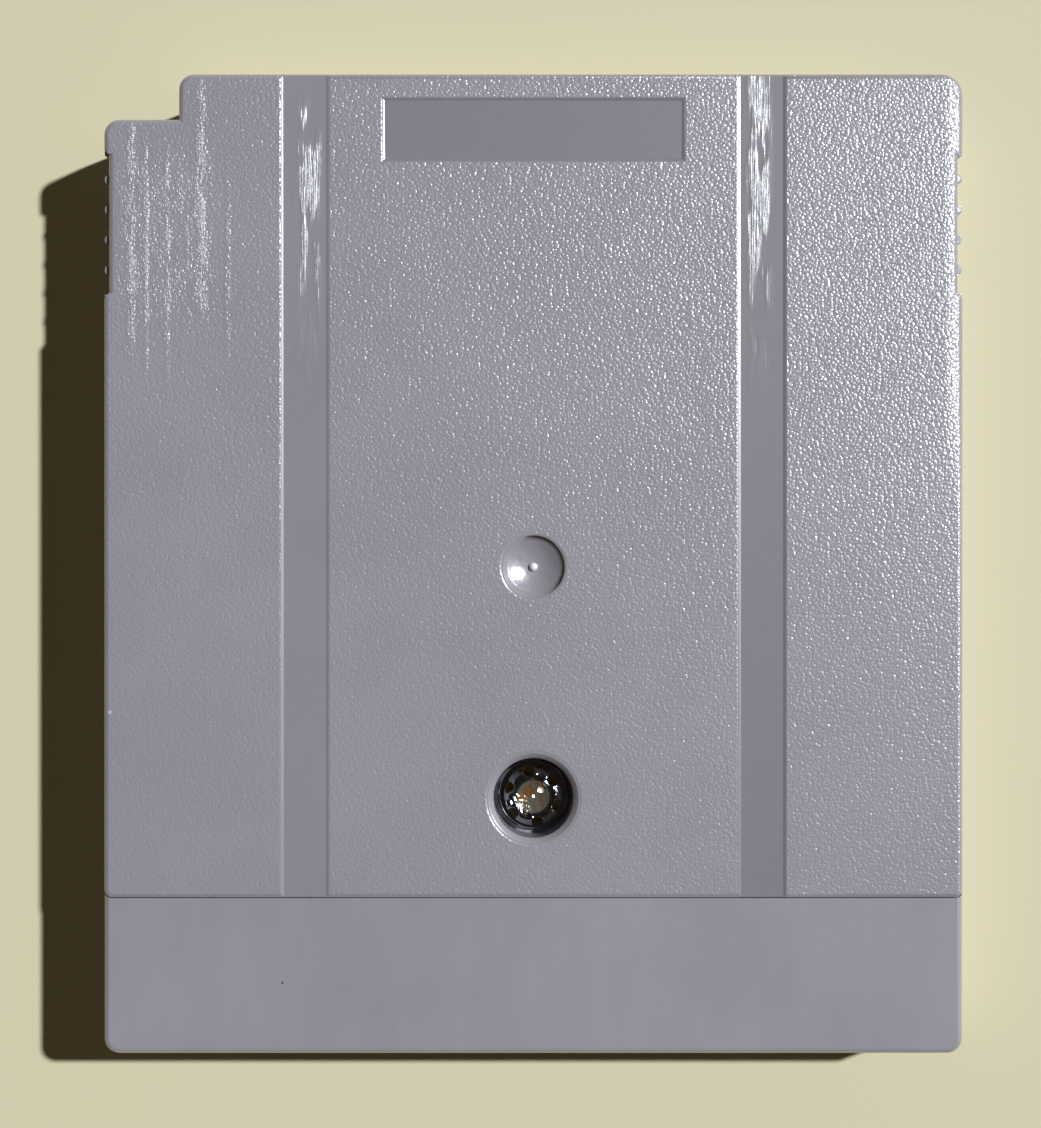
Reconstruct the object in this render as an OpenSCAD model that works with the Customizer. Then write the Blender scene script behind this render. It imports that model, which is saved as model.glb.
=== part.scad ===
// Game cartridge for a handheld console: two interlocking moulded half shells, one
// six-lobed security screw and a battery-backed circuit board.
// The label face lies on z = 0, +Y points to the top edge, and the back face is up.

/* [Case] */
// Width of the case
case_w = 57.0; // [56:0.2:60]
// Height of the case, from the connector edge to the top edge
case_h = 65.0; // [64.4:0.2:68]
// Thickness of the case at the back panel
case_t = 7.8; // [7.7:0.1:8.6]
// Radius of the outline's corners
corner_r = 1.1; // [0.8:0.1:1.2]
// Radius of the top corner away from the notch
top_corner_r = 1.5; // [0.8:0.1:2.2]
// Radius of the rounded outer edges
edge_r = 0.4; // [0.2:0.05:0.5]
// Draft of each half, from the parting line to its face
draft = 0.08; // [0:0.02:0.14]
// Thickness of the side and top walls
wall_t = 1.4; // [1.2:0.05:1.5]
// Thickness of the label-side wall
front_t = 1.0; // [0.9:0.05:1.2]
// Thickness of the back panel
back_t = 1.5; // [1.3:0.05:1.6]
// Height of the parting line over the label face
parting_z = 4.6; // [4.4:0.05:4.8]
// Gap in the parting line
parting_gap = 0.05; // [0.02:0.01:0.1]

/* [Notch] */
// Width of the corner notch
notch_w = 4.95; // [4:0.05:6]
// Height of the corner notch
notch_h = 3.0; // [2.6:0.05:3.4]

/* [Connector band] */
// Height of the smooth band, from the connector edge to the seam
band_h = 10.4; // [10:0.1:11]
// Depth of the band under the back panel
band_step = 0.12; // [0.1:0.02:0.3]
// Thickness of the band's wall
band_t = 1.28; // [1:0.04:1.32]
// Gap in the seam between the band and the back panel
seam_gap = 0.06; // [0.05:0.01:0.2]
// Radius of the back panel's two corners at the seam
seam_corner_r = 0.6; // [0.4:0.05:0.8]
// Width of the connector opening
mouth_w = 50.4; // [49:0.1:51]

/* [Back panel] */
// Width of each channel at its floor
channel_w = 2.7; // [2:0.1:4]
// Depth of the channels
channel_d = 0.08; // [0.05:0.01:0.12]
// Width of the soft sloping sides of the channels and of the rectangular recess
side_slope = 0.28; // [0.2:0.02:0.4]
// Distance from the middle to the centre line of each channel
channel_x = 15.1; // [12:0.1:18]
// Width of the rectangular recess at its floor
recess_w = 19.5; // [14:0.1:24]
// Height of the rectangular recess at its floor
recess_h = 3.7; // [3:0.05:6]
// Distance from the top edge to the rectangular recess
recess_top = 1.95; // [1.5:0.05:3]
// Depth of the rectangular recess
recess_d = 0.1; // [0.05:0.01:0.2]
// Distance from the middle of the case up to the round gate dimple
gate_y = -0.2; // [-1:0.05:1]
// Diameter of the round gate dimple
gate_d = 4.1; // [3:0.05:5]
// Height of the gate dimple's upright edge
gate_edge = 0.1; // [0.05:0.01:0.2]
// Depth of the gate dimple's bowl under its edge
gate_dish = 0.7; // [0.4:0.02:0.8]
// Thickness of the panel under the bowl's lowest point
gate_t = 1.0; // [0.8:0.05:1.2]
// Diameter of the gate's nub
nub_d = 0.6; // [0.4:0.05:0.9]
// Height of the gate's nub over the bowl
nub_h = 0.3; // [0.1:0.05:0.5]

/* [Grips] */
// Number of grip grooves on each side
grip_count = 5; // [3:1:5]
// Width of each grip groove
grip_gap = 1.24; // [1:0.02:1.4]
// Distance from one groove to the next
grip_pitch = 2.0; // [1.9:0.05:2.1]
// Depth of the grip grooves
grip_d = 0.35; // [0.2:0.05:0.4]
// Distance from the top edge to the first groove
grip_top = 5.4; // [5.1:0.1:5.6]
// Set-back of the back panel's edge along the grips
grip_inset = 0.4; // [0.15:0.05:0.45]
// Distance from the back panel down to the tops of the ribs between the grooves
grip_step = 0.5; // [0.45:0.05:1.5]

/* [Label face] */
// Width of the label recess
label_w = 43; // [36:0.5:46]
// Height of the label recess
label_h = 38; // [30:0.5:39]
// Distance from the top edge to the label recess
label_top = 19; // [17:0.5:19.5]
// Corner radius of the label recess
label_r = 1.5; // [0.5:0.1:3]
// Depth of the recesses in the label face
label_d = 0.25; // [0.1:0.05:0.3]
// Width of the round-ended recess over the label
badge_w = 38.5; // [30:0.5:40]
// Height of the round-ended recess over the label
badge_h = 8.2; // [6:0.1:8.4]
// Distance from the round-ended recess to the ends of the grip grooves
badge_margin = 1.5; // [1:0.1:2]
// Width of each guide rail along the sides of the label face
rail_w = 2.5; // [1.5:0.1:2.8]
// Depth of the guide rails
rail_d = 1.2; // [0.6:0.1:1.4]
// Distance from the lowest grip groove to the end of the guide rails
rail_margin = 2.4; // [1.5:0.1:3]
// Side of the triangular insertion mark
mark_side = 4; // [3:0.1:4.5]
// Distance from the connector edge to the tip of the insertion mark
mark_y = 2.6; // [2:0.1:3]

/* [Screw] */
// Distance from the connector edge to the screw
screw_y = 17.0; // [16.6:0.1:17.4]
// Diameter of the screw well
well_d = 5.3; // [5.1:0.1:5.6]
// Wall thickness of the screw well
well_wall = 1.35; // [1:0.05:1.6]
// Chamfer around the mouth of the screw well
well_chamfer = 0.35; // [0.1:0.05:0.4]
// Thickness of the seat under the screw's flange
seat_t = 1.1; // [0.9:0.05:1.3]
// Depth of the screw's top under the back panel
head_depth = 0.9; // [0.7:0.05:1.0]
// Height of the six-lobed head
head_h = 1.6; // [1.4:0.05:1.8]
// Diameter over the lobes
head_d = 3.85; // [3.6:0.05:4.1]
// Diameter of each scallop between the lobes
scallop_d = 0.8; // [0.6:0.02:0.9]
// Distance from the head's edge to the axis of each scallop
scallop_inset = 0.18; // [0:0.02:0.3]
// Diameter of the dish in the head
dish_d = 2.4; // [1.8:0.05:2.6]
// Depth of the dish in the head
dish_h = 0.32; // [0.15:0.02:0.5]
// Rise of the rounded ring about the dish
crown = 0.1; // [0.04:0.02:0.2]
// Diameter of the flange
flange_d = 4.8; // [4.3:0.05:4.9]
// Thickness of the flange
flange_t = 0.5; // [0.4:0.05:0.6]
// Diameter of the shank
shank_d = 1.9; // [1.7:0.05:2.1]
// Length of the shank under the flange
shank_l = 3.2; // [2.8:0.05:3.3]
// Clearance around the shank in its pilot hole, on the radius
pilot_gap = 0.05; // [0.02:0.01:0.1]
// Clearance around the shank in the well's seat, on the radius
shank_gap = 0.25; // [0.15:0.05:0.4]
// Diameter of the screw post
post_d = 5.0; // [4.4:0.1:5.4]

/* [Hooks] */
// Distance from the middle to each sliding hook
hook_x = 14; // [10:0.5:18]
// Distance from the top edge to the upright of each keeper
keeper_top = 9.0; // [8.6:0.1:9.6]
// Width of each hook and keeper
hook_w = 5; // [3:0.5:6]
// Thickness of the hooks and keepers
hook_t = 1.2; // [1:0.05:1.3]
// Length of the hook's toe
toe_l = 1.4; // [1.1:0.05:1.5]
// Height of the hook's toe
toe_t = 0.85; // [0.7:0.05:0.9]
// Height of the keeper's underside over the label-side wall
keeper_z = 2.2; // [2.1:0.05:2.3]
// Thickness of the keeper's lip
keeper_t = 0.8; // [0.7:0.05:0.9]
// Clearance between a hook and its keeper
hook_gap = 0.1; // [0.05:0.01:0.15]
// Depth of the tongue that reaches under the band
tongue_l = 1.5; // [1:0.1:1.8]
// Distance from the tongue's ends to the sides of the connector opening
tongue_margin = 1; // [0.5:0.1:3]
// Thickness of the tongue
tongue_t = 0.8; // [0.6:0.05:0.9]
// Height and thickness of the side lips that overlap the front shell
lip = 0.6; // [0.5:0.05:0.65]
// Clearance around the tongue and the side lips
lip_gap = 0.1; // [0.05:0.01:0.15]

/* [Circuit board] */
// Clearance between the board's sides and the sides of the connector opening
board_side_gap = 0.5; // [0.3:0.05:0.7]
// Height of the board
board_h = 48.6; // [48.4:0.1:49.2]
// Thickness of the board
board_t = 0.8; // [0.7:0.05:0.85]
// Set-back of the board from the connector edge
board_inset = 1.3; // [1:0.05:1.5]
// Height of the ribs that carry the board
board_rib = 0.4; // [0.35:0.05:0.45]
// Width of the ribs that carry the board
rib_w = 0.8; // [0.6:0.1:1.2]
// Distance from the board's sides to the long ribs
rib_inset = 4.7; // [3:0.1:6]
// Width of the pins that hold the board down
pin_w = 1.2; // [0.8:0.1:1.4]
// Clearance around the board in its stops and notches
board_gap = 0.2; // [0.1:0.05:0.3]
// Height of the two locating notches in the board's sides
peg_h = 3; // [2:0.1:4]
// Depth of the two locating notches in the board's sides
peg_d = 1.2; // [0.8:0.05:1.4]
// Distance from the board's top edge to the middle of the two notches
peg_top = 21.4; // [20:0.1:23]
// Width of the two stops over the board's top edge
stop_w = 3; // [2:0.1:4]
// Number of edge contacts
contact_count = 32; // [24:1:32]
// Distance from the board's sides to the first and the last contact
contact_margin = 0.95; // [0.8:0.05:1.5]
// Width of each contact
contact_w = 1.0; // [0.8:0.05:1.1]
// Length of each contact
contact_l = 6.6; // [5:0.1:6.8]
// Thickness of each contact
contact_t = 0.04; // [0.03:0.01:0.05]

/* [Chips] */
// Length of the program memory
rom_l = 20.6; // [20:0.1:21.4]
// Width of the program memory
rom_w = 11.3; // [10.8:0.1:11.4]
// Length of the save memory
ram_l = 18.1; // [17:0.1:19]
// Width of the save memory
ram_w = 8.4; // [7.8:0.1:8.6]
// Length of the bank controller
bank_l = 15.4; // [15:0.1:16]
// Width of the bank controller
bank_w = 7.6; // [7:0.1:7.8]
// Length of the power monitor
monitor_l = 5.0; // [4.6:0.1:5.4]
// Width of the power monitor
monitor_w = 4.4; // [4:0.1:4.6]
// Thickness of the large chips
chip_t = 2.3; // [2:0.05:2.4]
// Thickness of the small chip
small_chip_t = 1.5; // [1.3:0.05:1.7]
// Height of a chip's underside over the board
chip_gap = 0.1; // [0.05:0.01:0.2]
// Distance from one lead to the next
lead_pitch = 1.27; // [1.2:0.01:1.27]
// Width of a lead
lead_w = 0.42; // [0.3:0.02:0.5]
// Thickness of a lead
lead_t = 0.15; // [0.1:0.01:0.2]
// Reach of a lead from the side of its chip
lead_reach = 1.45; // [1.2:0.05:1.5]

/* [Coin cell] */
// Diameter of the cell
cell_d = 16; // [15:0.1:16.2]
// Thickness of the cell
cell_t = 1.6; // [1.2:0.1:1.8]
// Height of the cell's underside over the board
cell_lift = 0.55; // [0.45:0.05:0.7]
// Thickness of the cell's tabs
tab_t = 0.15; // [0.1:0.01:0.2]
// Width of the cell's tabs
tab_w = 4; // [3:0.1:5]

/* [Small parts] */
// Length of a chip capacitor or resistor
smd_l = 2.0; // [1.6:0.05:2.2]
// Width of a chip capacitor or resistor
smd_w = 1.25; // [1:0.05:1.4]
// Height of a chip capacitor
cap_t = 0.9; // [0.6:0.05:1.1]
// Height of a chip resistor
resistor_t = 0.5; // [0.4:0.05:0.6]
// Length of each metal end
end_l = 0.4; // [0.25:0.05:0.5]

/* [Hidden] */
// Distances of the small parts from the board's right side, and from its left side where negative
CAP_SIDE = [17.1, 13.1, 9.1, -17.3];
RESISTOR_SIDE = [5.1, -5.1, -7.4];
CAPS = [for (i = [1:len(CAP_SIDE)]) str("capacitor_", i)];
RESISTORS = [for (i = [1:len(RESISTOR_SIDE)]) str("resistor_", i)];

// Steps in each corner arc of the outline and in the rounded edges
arc_steps = 7;
edge_steps = 4;
// Steps in the soft sides of the grooves, in the gate dimple's bowl and in the screw's head
side_steps = 3;
bowl_steps = 8;
crown_steps = 6;
// Smallest radius of an inner corner
inner_r = 0.3;
// Overlap of pieces that are joined, and overshoot of cuts
join = 0.2;
over = 1;
round_fn = 64;
small_fn = 32;

case_grey = [0.57, 0.56, 0.59];
board_green = [0.16, 0.36, 0.22];
gold = [0.83, 0.68, 0.35];
tin = [0.75, 0.76, 0.77];
steel = [0.7, 0.71, 0.72];
chip_black = [0.12, 0.12, 0.13];
ceramic_tan = [0.62, 0.5, 0.36];

half_w = case_w / 2;
half_h = case_h / 2;
notch_x = notch_w - half_w;
notch_y = half_h - notch_h;
seam_y = band_h - half_h;
panel_low_y = seam_y + seam_gap;
grip_high_y = half_h - grip_top;
grip_span = (grip_count - 1) * grip_pitch + grip_gap;
grip_low_y = grip_high_y - grip_span;
grip_mid_y = grip_high_y - grip_span / 2;

band_z = case_t - band_step;
mouth_z = band_z - band_t;
edge_under = max(edge_r - band_step, 0);
seam_inset = draft + edge_r - sqrt(edge_r * edge_r - edge_under * edge_under);
panel_z = case_t - back_t;
front_inner_x = half_w - wall_t;
front_inner_top = half_h - wall_t;
rail_top_y = grip_low_y - rail_margin;
rail_floor_z = rail_d + front_t;

gate_floor_z = case_t - gate_edge - gate_dish;

screw_pos_y = screw_y - half_h;
head_top_z = case_t - head_depth;
seat_z = head_top_z - head_h - flange_t;
post_z = seat_z - seat_t;
pilot_r = shank_d / 2 + pilot_gap;
pilot_z = seat_z - shank_l - join;

board_w = mouth_w - 2 * board_side_gap;
contact_pitch = (board_w - 2 * contact_margin - contact_w) / (contact_count - 1);
board_z = front_t + board_rib;
board_top_z = board_z + board_t;
board_low_y = board_inset - half_h;
board_high_y = board_low_y + board_h;
board_hole_r = post_d / 2 + board_gap;
peg_y = board_high_y - peg_top;

keeper_y = half_h - keeper_top;
keeper_low_z = front_t + keeper_z;
keeper_reach = toe_l + hook_gap;
hook_y = keeper_y + hook_t + keeper_reach + 2 * hook_gap;
toe_z = keeper_low_z - hook_gap;
side_lip_low_y = panel_low_y + tongue_l;
side_lip_high_y = rail_top_y;

// Places of the parts on the board: distances from its nearer side and from its top edge
rom_side = 12.7;
rom_top = 8.1;
ram_side = 11.1;
ram_top = 23.5;
bank_side = 10.7;
bank_top = 24.4;
cell_side = 9.4;
cell_top = 9.3;
monitor_side = 11.7;
row_top = 36.1;
rom_x = rom_side - board_w / 2;
ram_x = ram_side - board_w / 2;
bank_x = board_w / 2 - bank_side;
cell_x = board_w / 2 - cell_side;
monitor_x = monitor_side - board_w / 2;
rom_y = board_high_y - rom_top;
ram_y = board_high_y - ram_top;
bank_y = board_high_y - bank_top;
cell_y = board_high_y - cell_top;
row_y = board_high_y - row_top;
cell_z = board_top_z + cell_lift;

function arc(x, y, r, start) = [
    for (i = [0:arc_steps])
        let (a = start + 90 * i / arc_steps)
        [x + r * cos(a), y + r * sin(a)]
];

// One convex corner of the outline: its two sides move in by d, and its arc shrinks with them
function corner(x, y, r, d, start) =
    let (
        in_r = max(r - d, inner_r),
        in_x = cos(start + 45) > 0 ? x - d - in_r : x + d + in_r,
        in_y = sin(start + 45) > 0 ? y - d - in_r : y + d + in_r
    )
    arc(in_x, in_y, in_r, start);

// The cartridge's outline, moved in by d, down to y = low with corners of radius low_r
function outline(d, low, low_r) = concat(
    corner(-half_w, low, low_r, d, 180),
    corner(half_w, low, low_r, d, 270),
    corner(half_w, half_h, top_corner_r, d, 0),
    corner(notch_x, half_h, corner_r, d, 90),
    [[notch_x + d, notch_y - d]],
    corner(-half_w, notch_y, corner_r, d, 90)
);

// Index of the notch's concave point, after four corner arcs
notch_point = 4 * (arc_steps + 1);

function full_outline(d) = outline(d, -half_h, corner_r);

// The back panel's outline: at the seam its wall stays upright until it stands over the band
function panel_outline(d) = outline(d, panel_low_y - min(max(d, 0), seam_inset), seam_corner_r);

// Heights and insets of a rounded edge, from the wall up to the face
function edge_up(z, slope) = [
    for (i = [0:edge_steps])
        let (a = 90 * i / edge_steps)
        [z - edge_r + edge_r * sin(a), slope + edge_r * (1 - cos(a))]
];

function edge_down(slope) = [
    for (i = [edge_steps:-1:0])
        let (a = 90 * i / edge_steps)
        [edge_r - edge_r * sin(a), slope + edge_r * (1 - cos(a))]
];

// A solid through a stack of rings that all have the same number of points. Its two end
// faces are fans about one point of the ring, which is the concave one where there is one.
module loft(rings, heights, hub = 0) {
    n = len(rings[0]);
    top = (len(rings) - 1) * n;
    rim = [for (i = [1:n - 2]) (hub + i) % n];
    polyhedron(
        points = [for (k = [0:len(rings) - 1], p = rings[k]) [p[0], p[1], heights[k]]],
        faces = [
            for (i = rim)
                let (j = (i + 1) % n)
                each [[hub, i, j], [top + hub, top + j, top + i]],
            for (a = [0:n:top - n], i = [0:n - 1])
                let (j = (i + 1) % n, b = a + n)
                each [[a + i, b + i, b + j], [a + i, b + j, a + j]]
        ]
    );
}

// A flat block between two corners
module block(low, high) {
    translate(low)
        cube(high - low);
}

// The same children on both sides of the cartridge
module both_sides() {
    children();
    mirror([1, 0, 0])
        children();
}

module front_form() {
    levels = concat(edge_down(draft), [[parting_z + parting_gap, 0]], edge_up(band_z, draft));
    loft([for (l = levels) full_outline(l[1])], [for (l = levels) l[0]], notch_point);
}

// Everything over the parting line that belongs to the back shell
module panel_space() {
    translate([0, 0, parting_z])
        linear_extrude(case_t)
            polygon(panel_outline(-seam_gap));
}

module connector_mouth() {
    block(
        [-mouth_w / 2, -half_h - over, front_t],
        [mouth_w / 2, front_inner_top - corner_r - notch_h, mouth_z]
    );
}

// The hollow of the front shell over its stepped floor
module front_hollow() {
    translate([0, 0, rail_floor_z])
        linear_extrude(case_t)
            polygon(outline(wall_t, seam_y - wall_t, inner_r));
    translate([0, 0, front_t])
        linear_extrude(case_t)
            polygon(outline(wall_t, rail_top_y + front_t - wall_t, inner_r));
}

// Channel of the side lip in the rim of the front shell
module lip_rebate() {
    both_sides()
        block(
            [front_inner_x - join, side_lip_low_y - lip_gap, parting_z - lip - lip_gap],
            [front_inner_x + lip + lip_gap, side_lip_high_y + lip_gap, parting_z + over]
        );
}

module guide_rails() {
    both_sides()
        block([half_w - rail_w, -half_h - over, -over], [half_w + over, rail_top_y, rail_d]);
}

module label_recess() {
    high = half_h - label_top;
    translate([0, high - label_h / 2, -over])
        linear_extrude(over + label_d)
            rounded_rectangle(label_w, label_h, label_r);
}

module rounded_rectangle(w, h, r) {
    square([w, h - 2 * r], center = true);
    square([w - 2 * r, h], center = true);
    for (x = [-1, 1], y = [-1, 1])
        translate([x * (w / 2 - r), y * (h / 2 - r)])
            circle(r, $fn = round_fn);
}

module badge_recess() {
    translate([0, grip_mid_y, -over])
        linear_extrude(over + label_d)
            for (x = [-1, 1]) {
                translate([x * (badge_w - badge_h) / 2, 0])
                    circle(d = badge_h, $fn = round_fn);
                translate([x * (badge_w - badge_h) / 4, 0])
                    square([(badge_w - badge_h) / 2 + join, badge_h], center = true);
            }
}

module insertion_mark() {
    rise = mark_side * sin(60);
    translate([0, mark_y - half_h, -over])
        linear_extrude(over + label_d)
            polygon([[0, 0], [mark_side / 2, rise], [-mark_side / 2, rise]]);
}

// Section of one half of the case with its lower edge rounded and its side moved in by d
module side_section(d) {
    square([half_w - d - edge_r, case_t]);
    translate([0, edge_r])
        square([half_w - d, case_t]);
    translate([half_w - d - edge_r, edge_r])
        circle(edge_r, $fn = small_fn);
}

// A grip groove runs round the side edge and ends on an arc about the round-ended recess
module grip_groove(y) {
    offset_y = y - grip_mid_y;
    end_r = badge_h / 2 + badge_margin;
    end_x = (badge_w - badge_h) / 2 + sqrt(end_r * end_r - offset_y * offset_y) + grip_gap / 2;
    translate([0, y, grip_d])
        intersection() {
            rotate([90, 0, 0])
                linear_extrude(grip_gap, center = true)
                    difference() {
                        translate([0, -grip_d - over])
                            square([half_w + over, parting_z + over]);
                        side_section(grip_d);
                    }
            translate([end_x, 0, -grip_d - over])
                linear_extrude(case_t) {
                    circle(d = grip_gap, $fn = small_fn);
                    translate([0, -grip_gap / 2])
                        square([half_w, grip_gap]);
                }
        }
}

module grips() {
    both_sides()
        for (i = [0:grip_count - 1])
            grip_groove(grip_high_y - grip_gap / 2 - i * grip_pitch);
}

module screw_post() {
    translate([0, screw_pos_y, front_t - join])
        cylinder(d = post_d, h = post_z - front_t + join, $fn = round_fn);
}

module pilot_hole() {
    translate([0, screw_pos_y, pilot_z])
        cylinder(r = pilot_r, h = case_t, $fn = round_fn);
}

// Two long ribs and two cross ribs carry the board
module board_ribs() {
    rib_x = board_w / 2 - rib_inset;
    low = front_t - join;
    both_sides()
        block([rib_x - rib_w / 2, board_low_y, low], [rib_x + rib_w / 2, board_high_y, board_z]);
    for (y = [board_high_y - rib_w, peg_y])
        block([-rib_x, y, low], [rib_x, y + rib_w, board_z]);
}

// Side pegs hold the board in its notches, and two stops stand over its top edge
module board_stops() {
    peg_x = board_w / 2 - peg_d + board_gap;
    both_sides() {
        block(
            [peg_x, peg_y - peg_h / 2 + board_gap, front_t - join],
            [mouth_w / 2 + join, peg_y + peg_h / 2 - board_gap, board_top_z + board_rib]
        );
        block(
            [hook_x + hook_w, board_high_y + board_gap, front_t - join],
            [hook_x + hook_w + stop_w, board_high_y + board_gap + hook_t, board_top_z + board_rib]
        );
    }
}

// Keepers: uprights with a lip that points to the top edge
module keepers() {
    for (x = [-hook_x, hook_x]) {
        block(
            [x - hook_w / 2, keeper_y, front_t - join],
            [x + hook_w / 2, keeper_y + hook_t, keeper_low_z + keeper_t]
        );
        block(
            [x - hook_w / 2, keeper_y + hook_t - join, keeper_low_z],
            [x + hook_w / 2, keeper_y + hook_t + keeper_reach, keeper_low_z + keeper_t]
        );
    }
}

module front_shell() {
    color(case_grey)
        difference() {
            union() {
                difference() {
                    front_form();
                    panel_space();
                    connector_mouth();
                    front_hollow();
                }
                screw_post();
                board_ribs();
                board_stops();
                keepers();
            }
            pilot_hole();
            lip_rebate();
            guide_rails();
            label_recess();
            badge_recess();
            insertion_mark();
            grips();
        }
}

module back_form() {
    levels = concat([[parting_z + parting_gap, 0]], edge_up(case_t, draft));
    loft([for (l = levels) panel_outline(l[1])], [for (l = levels) l[0]], notch_point);
}

module back_hollow() {
    linear_extrude(panel_z)
        polygon(outline(wall_t, seam_y - wall_t - over, inner_r));
}

// Plan of the grooves that run down one side of the back shell, between round-tipped ribs
module back_grooves() {
    tip_w = grip_pitch - grip_gap;
    x = half_w - grip_inset - edge_r;
    difference() {
        translate([x, grip_low_y])
            square([edge_r + grip_inset + over, grip_span]);
        for (i = [1:grip_count - 1])
            translate([half_w - draft - tip_w / 2, grip_high_y + tip_w / 2 - i * grip_pitch]) {
                circle(d = tip_w, $fn = small_fn);
                translate([-edge_r - grip_inset, -tip_w / 2])
                    square([edge_r + grip_inset, tip_w]);
            }
    }
}

// The panel's rounded edge is set back along the grips, with slanted ends, over the grooves
module grip_setback() {
    x = half_w - grip_inset;
    out = grip_inset + over;
    both_sides()
        intersection() {
            translate([0, grip_mid_y, 0])
                rotate([90, 0, 0])
                    linear_extrude(grip_span + 2 * out, center = true)
                        difference() {
                            translate([x - edge_r, 0])
                                square([edge_r + out, case_t + over]);
                            translate([0, case_t])
                                mirror([0, 1])
                                    side_section(grip_inset);
                        }
            union() {
                translate([0, 0, case_t - grip_step])
                    linear_extrude(grip_step + 2 * over)
                        polygon([
                            [x - edge_r, grip_low_y],
                            [x, grip_low_y],
                            [x + out, grip_low_y - out],
                            [x + out, grip_high_y + out],
                            [x, grip_high_y],
                            [x - edge_r, grip_high_y]
                        ]);
                translate([0, 0, parting_z - over])
                    linear_extrude(case_t)
                        back_grooves();
            }
        }
}

// Points of a soft slope, out from a groove's floor at x = w / 2 and up by its depth d
function soft_side(w, d) =
    [for (i = [0:side_steps]) [w / 2 + side_slope * i / side_steps, d * pow(sin(90 * i / side_steps), 2)]];

// Section of a groove of depth d whose floor has width w and whose sides slope softly
function groove_section(w, d) =
    let (side = soft_side(w, d), top = w / 2 + side_slope)
    concat(
        side,
        [[top, d + over], [-top, d + over]],
        [for (i = [side_steps:-1:0]) [-side[i][0], side[i][1]]]
    );

module channels() {
    both_sides()
        translate([channel_x, 0, case_t - channel_d])
            rotate([90, 0, 0])
                linear_extrude(case_h + 2 * over, center = true)
                    polygon(groove_section(channel_w, channel_d));
}

module panel_recess() {
    translate([0, half_h - recess_top - recess_h / 2, case_t - recess_d])
        intersection() {
            rotate([90, 0, 0])
                linear_extrude(case_h, center = true)
                    polygon(groove_section(recess_w, recess_d));
            rotate([90, 0, 90])
                linear_extrude(case_w, center = true)
                    polygon(groove_section(recess_h, recess_d));
        }
}

// Radius of the ball whose cap has radius r and height h
function ball_radius(r, h) = (r * r + h * h) / (2 * h);

// Points of a bowl's section, from its lowest point at [0, -h] out to its rim at [r, 0]
function bowl(r, h, steps) =
    let (ball_r = ball_radius(r, h))
    [for (i = [0:steps]) let (x = r * i / steps) [x, ball_r - h - sqrt(ball_r * ball_r - x * x)]];

// Round dimple over a deep bowl, where the mould was filled
module gate_dimple() {
    gate_r = gate_d / 2;
    translate([0, gate_y, case_t - gate_edge])
        rotate_extrude($fn = round_fn)
            polygon(concat(
                bowl(gate_r, gate_dish, bowl_steps),
                [[gate_r, gate_edge + over], [0, gate_edge + over]]
            ));
}

// The rounded remnant of the moulding gate in the bowl
module gate_nub() {
    translate([0, gate_y, gate_floor_z])
        rotate_extrude($fn = small_fn)
            polygon(concat(
                [[0, -join], [nub_d / 2, -join]],
                [
                    for (i = [0:edge_steps])
                        let (a = 90 * i / edge_steps)
                        [nub_d / 2 * cos(a), nub_h * sin(a)]
                ]
            ));
}

module well_tube() {
    translate([0, screw_pos_y, post_z])
        cylinder(d = well_d + 2 * well_wall, h = panel_z - post_z + join, $fn = round_fn);
}

module well_hole() {
    chamfer_over = 0.2;
    translate([0, screw_pos_y, 0]) {
        translate([0, 0, seat_z])
            cylinder(d = well_d, h = case_t, $fn = round_fn);
        cylinder(r = shank_d / 2 + shank_gap, h = case_t, $fn = round_fn);
        translate([0, 0, case_t - well_chamfer])
            cylinder(
                d1 = well_d,
                d2 = well_d + 2 * (well_chamfer + chamfer_over),
                h = well_chamfer + chamfer_over,
                $fn = round_fn
            );
    }
}

// Hooks: legs with a toe that slides under the keeper's lip
module hooks() {
    for (x = [-hook_x, hook_x]) {
        block(
            [x - hook_w / 2, hook_y, toe_z - toe_t],
            [x + hook_w / 2, hook_y + hook_t, panel_z + join]
        );
        block(
            [x - hook_w / 2, hook_y - toe_l, toe_z - toe_t],
            [x + hook_w / 2, hook_y + join, toe_z]
        );
    }
}

// Tongue that reaches under the band from the panel's lower edge
module tongue() {
    width = mouth_w - 2 * tongue_margin;
    high = mouth_z - lip_gap;
    root = panel_low_y + join;
    rotate([90, 0, 90])
        linear_extrude(width, center = true)
            polygon([
                [seam_y - tongue_l, high - tongue_t],
                [root + tongue_t, high - tongue_t],
                [root + tongue_t, panel_z + join],
                [root, panel_z + join],
                [seam_y, high],
                [seam_y - tongue_l, high]
            ]);
}

// Lips on the rim's inner side, which stand in the front shell's rebate
module side_lips() {
    both_sides()
        block(
            [front_inner_x - lip_gap, side_lip_low_y, parting_z - lip],
            [front_inner_x + lip, side_lip_high_y, parting_z + lip]
        );
}

// Round pad that keeps the panel's thickness behind the dimple
module gate_backing() {
    translate([0, gate_y, gate_floor_z - gate_t])
        cylinder(d = gate_d, h = panel_z - gate_floor_z + gate_t + join, $fn = round_fn);
}

// Four pins that hold the board down on its ribs
module board_pins() {
    pin_x = board_w / 2 - pin_w;
    for (y = [board_high_y - pin_w, row_y - smd_l / 2])
        both_sides()
            block(
                [pin_x, y - pin_w / 2, board_top_z + parting_gap],
                [pin_x + pin_w, y + pin_w / 2, panel_z + join]
            );
}

module back_shell() {
    color(case_grey) {
        difference() {
            union() {
                difference() {
                    back_form();
                    back_hollow();
                }
                well_tube();
                hooks();
                tongue();
                side_lips();
                gate_backing();
                board_pins();
            }
            grip_setback();
            channels();
            panel_recess();
            gate_dimple();
            well_hole();
        }
        gate_nub();
    }
}

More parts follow.
